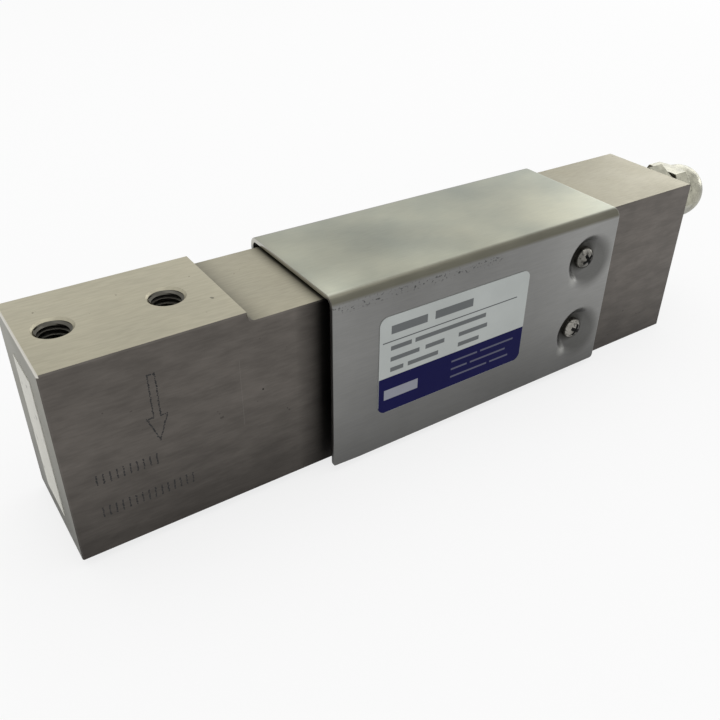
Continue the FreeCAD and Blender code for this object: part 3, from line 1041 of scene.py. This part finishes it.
# --------------------------------------------------------------------------- pieces
@dataclass
class FoldedCover:
    """Sheet cover folded from a flat blank, with four soft dimples pressed into its flanges.

    On the blank, X runs along the cover and Y over it from the front flange's lower edge.
    """

    thickness: float = 1.0
    bend_r: float = 2.0
    bend_steps: int = 9
    corner_r: float = 0.8
    dimple_mouth_r: float = 6.3
    dimple_floor_r: float = 3.3
    dimple_depth: float = 1.86
    fine_step: float = 0.4
    plain_step: float = 6.0
    rim_angle: float = 60.0
    edge_bevel: float = 0.18
    bevel_steps: int = 2
    round_profile: float = 0.5
    low: Vector = field(default_factory=lambda: box("cover")[0])
    high: Vector = field(default_factory=lambda: box("cover")[1])
    screws: list[Vector] = field(default_factory=lambda: [
        node_middle(f"cover_screw_front_{height}") for height in SCREW_TURNS])

    @property
    def flange(self) -> float:
        """Flat height of a flange below its bend."""
        return self.high.z - self.low.z - self.bend_r

    @property
    def arc(self) -> float:
        """Length of a bend along the outer face of the sheet."""
        return math.pi / 2 * self.bend_r

    @property
    def top(self) -> float:
        """Flat width between the bends."""
        return self.high.y - self.low.y - 2 * self.bend_r

    @property
    def bends(self) -> tuple[float, ...]:
        """Where the two bends start and stop on the blank."""
        start = self.flange + self.arc
        return self.flange, start, start + self.top, start + self.top + self.arc

    @property
    def width(self) -> float:
        """Width of the blank."""
        return self.bends[-1] + self.flange

    def folded(self, along: float, across: float) -> Vector:
        """Where a point of the flat blank goes when the blank is folded.

        Args:
            along: Place along X.
            across: Place over the blank.

        Returns:
            The point on the outer face of the folded sheet, in metres.
        """
        rear = across > self.width / 2
        across = self.width - across if rear else across
        if across <= self.flange:
            z = self.low.z + across
            y = self.low.y + self.dimple(along, z)
        elif across <= self.flange + self.arc:
            turn = (across - self.flange) / self.bend_r
            y = self.low.y + self.bend_r * (1 - math.cos(turn))
            z = self.low.z + self.flange + self.bend_r * math.sin(turn)
        else:
            y = self.low.y + self.bend_r + across - self.flange - self.arc
            z = self.high.z
        return Vector((along, -y if rear else y, z)) * MM

    def dimple(self, along: float, height: float) -> float:
        """How deep the flange is pressed in at one place.

        Args:
            along: Place along X.
            height: Place along Z.

        Returns:
            The depth.
        """
        reach = min(math.hypot(along - screw.x, height - screw.z) for screw in self.screws)
        share = (self.dimple_mouth_r - reach) / (self.dimple_mouth_r - self.dimple_floor_r)
        share = min(max(share, 0.0), 1.0)
        return self.dimple_depth * share * share * (3 - 2 * share)

    def corner(self, along: float, across: float) -> tuple[float, float]:
        """Pull a point near one of the blank's corners in to the corner's radius.

        Args:
            along: Place along X.
            across: Place over the blank.

        Returns:
            The two new places.
        """
        inner_x = min(max(along, self.low.x + self.corner_r), self.high.x - self.corner_r)
        inner_s = min(max(across, self.corner_r), self.width - self.corner_r)
        offset = Vector((along - inner_x, across - inner_s))
        if offset.x == 0 or offset.y == 0 or offset.length <= self.corner_r:
            return along, across
        offset = offset.normalized() * self.corner_r
        return inner_x + offset.x, inner_s + offset.y

    def build(self, material: Material) -> Object:
        """Fold the blank, divided finely round the dimples, thicken it and dress it.

        Args:
            material: Finish of the cover.

        Returns:
            The cover.
        """
        bm = bmesh.new()
        fine, bend, plain = self.fine_step, self.arc / self.bend_steps, self.plain_step
        fine_x = self.screws[0].x - self.dimple_mouth_r - fine
        lattice(bm, lines_over((self.low.x, fine_x, self.high.x), (plain, fine)),
                lines_over((0.0, *self.bends, self.width), (fine, bend, plain, bend, fine)),
                lambda along, across: self.folded(*self.corner(along, across)))
        bmesh.ops.recalc_face_normals(bm, faces=bm.faces)
        if sum(face.normal.z * face.calc_area() for face in bm.faces) < 0:
            bmesh.ops.reverse_faces(bm, faces=bm.faces)
        bmesh.ops.solidify(bm, geom=list(bm.faces), thickness=self.thickness * MM)
        bmesh.ops.recalc_face_normals(bm, faces=bm.faces)
        least = math.radians(self.rim_angle)
        rims = [edge for edge in bm.edges if edge.calc_face_angle(0.0) > least]
        bmesh.ops.bevel(bm, geom=rims, offset=self.edge_bevel * MM, offset_type="OFFSET",
                        affect="EDGES", segments=self.bevel_steps, profile=self.round_profile,
                        material=-1)
        piece = to_object(bm, "formed_cover", material)
        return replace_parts(piece, "cover")


@dataclass
class CrossScrew:
    """Pan head cover screw with a cross recess, drawn upright on its seat.

    The square round the recess and the first ring are shares of the recess's half span.
    """

    node: str
    side: Side
    turn: float
    head_r: float = 2.5
    head_height: float = 1.9
    crown_height: float = 1.4
    shank_r: float = 1.45
    shank_length: float = 7.0
    recess_width: float = 0.8
    recess_span: float = 2.9
    recess_depth: float = 1.2
    recess_taper: float = 0.6
    square_share: float = 1.05
    ring_share: float = 1.55
    round_steps: int = 40
    crown_steps: int = 8
    sharp_above: float = 35.0

    def crown(self, radius: float) -> float:
        """Height of the domed head over its seat at one radius."""
        share = min(radius / self.head_r, 1.0)
        return self.head_height - self.crown_height * (1 - math.sqrt(max(1 - share ** 2, 0.0)))

    def build(self, material: Material, recess: Material) -> Object:
        """Build the screw at its node's place.

        Args:
            material: Finish of the screw.
            recess: Dark finish inside the cross, as painted shade in the recess.

        Returns:
            The screw.
        """
        bm = bmesh.new()
        wings = self.square(bm)
        rim = [edge for edge in bm.edges if edge.is_boundary]
        self.sink(bm, wings)
        self.surround(bm, rim)
        bmesh.ops.recalc_face_normals(bm, faces=bm.faces)
        low, high = box(self.node)
        seat = (low + high) / 2
        outer = low.y if self.side is Side.FRONT else high.y
        seat.y = outer - self.side.value * self.head_height
        turned = facing_out(Vector((0.0, self.side.value, 0.0)), self.turn)
        place = Matrix.LocRotScale(seat * MM, turned, Vector((MM, MM, MM)))
        bmesh.ops.transform(bm, matrix=place, verts=bm.verts)
        name = self.node.replace("cover_screw", "dressed_screw")
        piece = to_object(bm, name, material, self.sharp_above)
        piece.data.materials.append(recess)
        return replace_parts(piece, self.node)

    def square(self, bm: BMesh) -> list[BMFace]:
        """Draw the square that holds the cross, on the crown of the head.

        Args:
            bm: An empty mesh.

        Returns:
            The faces of the cross.
        """
        half_span, half_width = self.recess_span / 2, self.recess_width / 2
        outwards = (half_width, half_span, half_span * self.square_share)
        lines = (*(-place for place in reversed(outwards)), *outwards)
        lattice(bm, lines, lines, lambda x, y: Vector((x, y, self.crown(math.hypot(x, y)))))
        wings = []
        for face in bm.faces:
            middle = face.calc_center_median()
            inner, arm = sorted((abs(middle.x), abs(middle.y)))
            if inner < half_width and arm < half_span:
                wings.append(face)
        return wings

    def sink(self, bm: BMesh, wings: list[BMFace]) -> None:
        """Press the cross into the head, narrower towards its bottom.

        Args:
            bm: The head.
            wings: The faces of the cross.
        """
        made = bmesh.ops.extrude_face_region(bm, geom=wings)["geom"]
        bmesh.ops.delete(bm, geom=wings, context="FACES_ONLY")
        bottom = self.head_height - self.recess_depth
        for vert in (item for item in made if isinstance(item, BMVert)):
            vert.co = (vert.co.x * self.recess_taper, vert.co.y * self.recess_taper, bottom)
            # The cross's walls and floor take the second, dark finish: painted shade.
            for face in vert.link_faces:
                face.material_index = 1

    def surround(self, bm: BMesh, rim: list[BMEdge]) -> None:
        """Join the square to the round head and carry on down to the shank's end.

        Args:
            bm: The head.
            rim: The square's outer edges.
        """
        start = self.recess_span / 2 * self.ring_share
        loop = start_loop(bm, self.round_steps, self.ring(start, self.crown(start)))
        bmesh.ops.bridge_loops(bm, edges=rim + loop)
        for step in range(1, self.crown_steps + 1):
            turn = math.pi / 2 * step / self.crown_steps
            radius = start + (self.head_r - start) * math.sin(turn)
            loop = new_loop(bm, loop, self.ring(radius, self.crown(radius)))
        for radius, height in ((self.head_r, 0.0), (self.shank_r, 0.0),
                               (self.shank_r, -self.shank_length)):
            loop = new_loop(bm, loop, self.ring(radius, height))
        bmesh.ops.contextual_create(bm, geom=loop)

    def ring(self, radius: float, height: float) -> CornerPlace:
        """Places of a round loop's corners."""
        step = 2 * math.pi / self.round_steps
        return lambda i: Vector((radius * math.cos(i * step), radius * math.sin(i * step), height))


@dataclass
class TappedThread:
    """Ridges of one M6 thread, wound down the wall of a tapped hole.

    The ridge's half widths are shares of its pitch.
    """

    name: str
    mouth: Vector
    into: Vector
    major_r: float = 3.0
    minor_r: float = 2.5
    pitch: float = 1.0
    half_root: float = 0.44
    half_crest: float = 0.125
    sunk: float = 0.02
    start: float = 0.55
    length: float = 13.7
    run_in: float = 0.3
    least_rise: float = 0.02
    turn: float = 251.0
    steps_per_turn: int = 36
    sharp_above: float = 20.0

    def build(self, material: Material) -> Object:
        """Wind the ridge and dress it.

        Args:
            material: Finish of the thread.

        Returns:
            The ridge.
        """
        bm = bmesh.new()
        buried = self.major_r + self.sunk
        corners = ((buried, -self.half_root), (self.minor_r, -self.half_crest),
                   (self.minor_r, self.half_crest), (buried, self.half_root))
        face = bm.faces.new([bm.verts.new((radius, 0.0, height * self.pitch))
                             for radius, height in corners])
        turns = self.length / self.pitch
        steps = round(turns * self.steps_per_turn)
        bmesh.ops.spin(bm, geom=[face, *face.edges, *face.verts], cent=(0, 0, 0), axis=(0, 0, 1),
                       dvec=(0, 0, self.length / steps), angle=2 * math.pi * turns, steps=steps)
        for vert in bm.verts:
            reach = min(vert.co.z, self.length - vert.co.z) / self.run_in
            rise = (buried - vert.co.xy.length) * min(max(reach, self.least_rise), 1.0)
            vert.co.xy = vert.co.xy.normalized() * (buried - rise)
        bmesh.ops.recalc_face_normals(bm, faces=bm.faces)
        place = Matrix.LocRotScale((self.mouth + self.into * self.start) * MM,
                                   facing_out(self.into, self.turn), Vector((MM, MM, MM)))
        bmesh.ops.transform(bm, matrix=place, verts=bm.verts)
        return to_object(bm, self.name, material, self.sharp_above)


@dataclass
class PeenedMarks:
    """Marks dotted into the front of the bar: a load arrow's outline and rows of ticks."""

    face_y: float
    left_x: float
    dot_r: float = 0.155
    dot_spread: float = 0.2
    dot_corners: int = 7
    dot_pitch: float = 0.33
    wander: float = 0.07
    seed: int = 11
    stand: float = 0.008
    arrow: tuple[tuple[float, float], ...] = (
        (15.9, 34.25), (17.15, 34.25), (17.15, 25.9), (18.3, 25.9), (16.5, 21.0), (14.7, 25.9),
        (15.9, 25.9))
    tick_rows: tuple[tuple[float, float, int], ...] = ((5.0, 17.5, 10), (5.0, 10.5, 15))
    tick_pitch: float = 1.15
    tick_height: float = 2.2

    def dots(self) -> list[tuple[float, float]]:
        """Places of all dots along and up the face.

        Returns:
            The places.
        """
        lines = list(zip(self.arrow, self.arrow[1:] + self.arrow[:1]))
        for x, z, count in self.tick_rows:
            for foot in (x + index * self.tick_pitch for index in range(count)):
                lines.append(((foot, z - self.tick_height / 2), (foot, z + self.tick_height / 2)))
        return [place for start, stop in lines for place in self.line(start, stop)]

    def line(self, start: tuple[float, float],
             stop: tuple[float, float]) -> list[tuple[float, float]]:
        """Dots along a straight line, without its last point."""
        count = max(round(math.dist(start, stop) / self.dot_pitch), 1)
        return [tuple(a + (b - a) * step / count for a, b in zip(start, stop))
                for step in range(count)]

    def build(self, material: Material) -> Object:
        """Dot the marks onto the face.

        Args:
            material: Finish of the dots.

        Returns:
            The marks.
        """
        bm = bmesh.new()
        upright = Matrix.Rotation(math.radians(90), 4, "X")
        hand = random.Random(self.seed)
        for x, z in self.dots():
            x += hand.uniform(-self.wander, self.wander)
            z += hand.uniform(-self.wander, self.wander)
            place = Matrix.Translation(Vector((self.left_x + x, self.face_y, z)) * MM)
            radius = self.dot_r * hand.uniform(1 - self.dot_spread, 1 + self.dot_spread) * MM
            bmesh.ops.create_cone(bm, cap_ends=True, segments=self.dot_corners, radius1=radius,
                                  radius2=radius, depth=2 * self.stand * MM,
                                  matrix=place @ upright)
        return to_object(bm, "peened_marks", material)


@dataclass
class DomeNut:
    """Dome nut of the cable gland: crowned hexagon, rounded dome and the cable's mouth."""

    across_flats: float = 14.2
    sides: int = 6
    crown_angle: float = 30.0
    hex_length: float = 4.6
    groove_r: float = 6.25
    groove_length: float = 0.7
    shoulder_r: float = 6.65
    end_r: float = 4.2
    dome_length: float = 4.7
    mouth_r: float = 3.3
    mouth_lip: float = 0.4
    bore_depth: float = 5.0
    thread_r: float = 5.95
    side_steps: int = 16
    crown_rings: int = 8
    dome_rings: int = 10
    merge_reach: float = 1e-7
    low: Vector = field(default_factory=lambda: box("gland_dome_nut")[0])
    high: Vector = field(default_factory=lambda: box("gland_dome_nut")[1])

    @property
    def count(self) -> int:
        """Corners of one ring."""
        return self.sides * self.side_steps

    def ring(self, along: float, limit: float, hexagon: bool = False) -> CornerPlace:
        """Places of a ring's corners, by its place along the nut and its largest radius."""
        return lambda index: self.corner(index, along, limit, hexagon)

    def corner(self, index: int, along: float, limit: float, hexagon: bool) -> Vector:
        """Place of one corner of a ring.

        Args:
            index: Number of the corner.
            along: Place of the ring along the nut.
            limit: Largest radius.
            hexagon: Whether the ring keeps inside the hexagon too.

        Returns:
            The place in the part's frame, in metres.
        """
        angle = 2 * math.pi * index / self.count
        side = 2 * math.pi / self.sides
        flat = self.across_flats / 2 / math.cos(angle % side - side / 2)
        radius = min(limit, flat) if hexagon else limit
        return Vector((self.low.x + along, radius * math.cos(angle),
                       radius * math.sin(angle) + (self.low.z + self.high.z) / 2)) * MM

    def rings(self) -> list[CornerPlace]:
        """Rings from the nut's open end, over its outside and into its mouth.

        Returns:
            The places of each ring's corners.
        """
        flat_r = self.across_flats / 2
        corner_r = flat_r / math.cos(math.pi / self.sides)
        crown = (corner_r - flat_r) * math.tan(math.radians(self.crown_angle))
        total = self.high.x - self.low.x
        rings = [self.ring(0.0, self.thread_r), self.ring(0.0, corner_r, hexagon=True)]
        for share in (step / self.crown_rings for step in range(self.crown_rings + 1)):
            rings.append(self.ring(self.hex_length - crown * (1 - share),
                                   corner_r + (flat_r - corner_r) * share, hexagon=True))
        groove_end = self.hex_length + self.groove_length
        rings += [self.ring(self.hex_length, self.groove_r),
                  self.ring(groove_end, self.groove_r), self.ring(groove_end, self.shoulder_r)]
        for turn in (math.pi / 2 * step / self.dome_rings for step in range(self.dome_rings + 1)):
            rings.append(self.ring(total - self.dome_length * (1 - math.sin(turn)),
                                   self.end_r + (self.shoulder_r - self.end_r) * math.cos(turn)))
        return rings + [self.ring(total, self.mouth_r + self.mouth_lip),
                        self.ring(total - self.mouth_lip, self.mouth_r),
                        self.ring(self.bore_depth, self.mouth_r)]

    def build(self, material: Material) -> Object:
        """Draw the nut ring by ring and dress it.

        Args:
            material: Finish of the nut.

        Returns:
            The nut.
        """
        bm = bmesh.new()
        loop = start_loop(bm, self.count, self.ring(self.bore_depth, self.thread_r))
        for place in self.rings():
            loop = new_loop(bm, loop, place)
        bmesh.ops.remove_doubles(bm, verts=bm.verts, dist=self.merge_reach)
        bmesh.ops.bridge_loops(bm, edges=[edge for edge in bm.edges if edge.is_boundary])
        bmesh.ops.recalc_face_normals(bm, faces=bm.faces)
        piece = to_object(bm, "rounded_dome_nut", material)
        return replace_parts(piece, "gland_dome_nut")


# --------------------------------------------------------------------------- studio
@dataclass(frozen=True)
class Softbox:
    """A rectangular lamp that looks at a point of the part, in metres."""

    name: str
    place: Triple
    size: tuple[float, float]
    radiance: float
    target: Triple = (-0.06, 0.0, 0.02)

    def build(self) -> None:
        """Hang the lamp."""
        data = bpy.data.lights.new(self.name, "AREA")
        data.shape = "RECTANGLE"
        data.size, data.size_y = self.size
        data.energy = self.radiance * math.pi * self.size[0] * self.size[1]
        lamp = bpy.data.objects.new(self.name, data)
        lamp.location = self.place
        lamp.visible_camera = False
        look = Vector(self.target) - lamp.location
        lamp.rotation_mode = "QUATERNION"
        lamp.rotation_quaternion = look.to_track_quat("-Z", "Y")
        bpy.context.scene.collection.objects.link(lamp)


@dataclass(frozen=True)
class Studio:
    """Pale floor, soft lamps, even world and the camera. Lengths are in metres."""

    floor_size: float = 4.0
    floor_colour: Colour = (0.80, 0.80, 0.80)
    floor_roughness: float = 0.9
    floor_white: float = 0.78
    floor_gloss: float = 0.30
    world_level: float = 0.85
    camera_place: Triple = (-0.14902, -0.11824, 0.10783)
    camera_azimuth: float = -35.27
    camera_fall: float = 33.46
    camera_roll: float = 1.41
    lens_mm: float = 40.225
    sensor_mm: float = 36.0
    shift: tuple[float, float] = (-0.02257, -0.00633)
    clip: tuple[float, float] = (0.01, 20.0)
    lamps: tuple[Softbox, ...] = (
        Softbox("right_softbox", (0.80, 0.34, 0.28), (0.50, 0.40), 1.5),
        Softbox("low_softbox", (0.85, -0.05, 0.10), (0.25, 0.15), 3.5),
        Softbox("overhead_softbox", (0.05, 0.10, 0.80), (0.7, 0.7), 1.1))

    def build(self) -> None:
        """Set up floor, world, lamps, camera and colour management."""
        self.lay_floor()
        world = bpy.data.worlds.new("even_world")
        world.use_nodes = True
        back = world.node_tree.nodes["Background"]
        back.inputs["Color"].default_value = WHITE
        back.inputs["Strength"].default_value = self.world_level
        bpy.context.scene.world = world
        for lamp in self.lamps:
            lamp.build()
        self.set_camera()
        bpy.context.scene.view_settings.view_transform = "Standard"

    def floor_material(self) -> Material:
        """Matt floor that adds plain white where it is seen directly or in gloss.

        Returns:
            The material.
        """
        material = bpy.data.materials.new("studio_floor")
        material.use_nodes = True
        tree, nodes = Tree(material.node_tree), material.node_tree.nodes
        shader = nodes["Principled BSDF"]
        shader.inputs["Base Color"].default_value = rgba(self.floor_colour)
        shader.inputs["Roughness"].default_value = self.floor_roughness
        shader.inputs["Specular IOR Level"].default_value = 0.0
        rays = tree.add("ShaderNodeLightPath").outputs
        direct = tree.calc("MAXIMUM", rays["Is Camera Ray"], rays["Is Transmission Ray"])
        seen = tree.calc("MAXIMUM", tree.times(direct, self.floor_white),
                         tree.times(rays["Is Glossy Ray"], self.floor_gloss))
        white = tree.add("ShaderNodeEmission", {"Color": WHITE, "Strength": 1.0})
        mixed = tree.add("ShaderNodeMixShader", {0: seen, 1: shader.outputs[0],
                                                 2: white.outputs[0]})
        tree.feed(nodes["Material Output"].inputs["Surface"], mixed.outputs[0])
        return material

    def lay_floor(self) -> None:
        """Lay the floor."""
        bm = bmesh.new()
        bmesh.ops.create_grid(bm, x_segments=1, y_segments=1, size=self.floor_size / 2)
        mesh = bpy.data.meshes.new("floor")
        bm.to_mesh(mesh)
        bm.free()
        mesh.materials.append(self.floor_material())
        floor = bpy.data.objects.new("floor", mesh)
        bpy.context.scene.collection.objects.link(floor)

    def set_camera(self) -> None:
        """Set the camera."""
        data = bpy.data.cameras.new("camera")
        data.lens, data.sensor_width = self.lens_mm, self.sensor_mm
        data.shift_x, data.shift_y = self.shift
        data.clip_start, data.clip_end = self.clip
        camera = bpy.data.objects.new("camera", data)
        camera.location = self.camera_place
        level = Euler((math.radians(90.0 - self.camera_fall), 0.0,
                       math.radians(self.camera_azimuth)))
        roll = Quaternion((0.0, 0.0, 1.0), math.radians(self.camera_roll))
        camera.rotation_mode = "QUATERNION"
        camera.rotation_quaternion = level.to_quaternion() @ roll
        bpy.context.scene.collection.objects.link(camera)
        bpy.context.scene.camera = camera


# --------------------------------------------------------------------------- the whole part
class LoadCell:
    """The load cell: its finishes, its dressed nodes and its added pieces."""

    def __init__(self) -> None:
        """Build the shared effects and every finish."""
        effects = Effects()
        self.finishes = {slot: finish.material(effects) for slot, finish in FINISHES.items()}
        self.thread_steel = THREAD_STEEL.material(effects)
        self.dark_marks_and_recess_shade = DARK_MARKS_AND_RECESS_SHADE.material(effects)

    def dress_nodes(self) -> None:
        """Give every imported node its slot's finish."""
        slots = {row["node"]: row["material_slot"] for row in frame["record"]["subparts"]}
        for name, node in frame["nodes"].items():
            node.data.materials.clear()
            node.data.materials.append(self.finishes[slots[name]])
            LOG.info("dressed %s with %s", name, slots[name])

    def add_pieces(self) -> None:
        """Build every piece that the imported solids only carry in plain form."""
        pieces = [FoldedCover().build(self.finishes["stainless_sheet"]),
                  DomeNut().build(self.finishes["gland_plating"])]
        for side in Side:
            for height, turn in SCREW_TURNS.items():
                screw = CrossScrew(f"cover_screw_{side.name.lower()}_{height}", side, turn)
                pieces.append(screw.build(self.finishes["screw_steel"], self.dark_marks_and_recess_shade))
        for name, down in (("live_end_holes", -1.0), ("fixed_end_holes", 1.0)):
            for number, mouth in enumerate(hole_mouths(name), start=1):
                thread = TappedThread(f"{name}_thread_{number}", mouth, Vector((0.0, 0.0, down)))
                pieces.append(thread.build(self.thread_steel))
        corner = box("spring_element")[0]
        marks = PeenedMarks(face_y=corner.y, left_x=corner.x)
        pieces.append(marks.build(self.dark_marks_and_recess_shade))
        for piece in pieces:
            LOG.info("built %s: %d faces", piece.name, len(piece.data.polygons))


def main() -> None:
    """Dress the part and set up the studio."""
    logging.basicConfig(level=logging.INFO, format="%(name)s: %(message)s")
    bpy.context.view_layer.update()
    cell = LoadCell()
    cell.dress_nodes()
    cell.add_pieces()
    Studio().build()


if __name__ == "__main__":
    main()
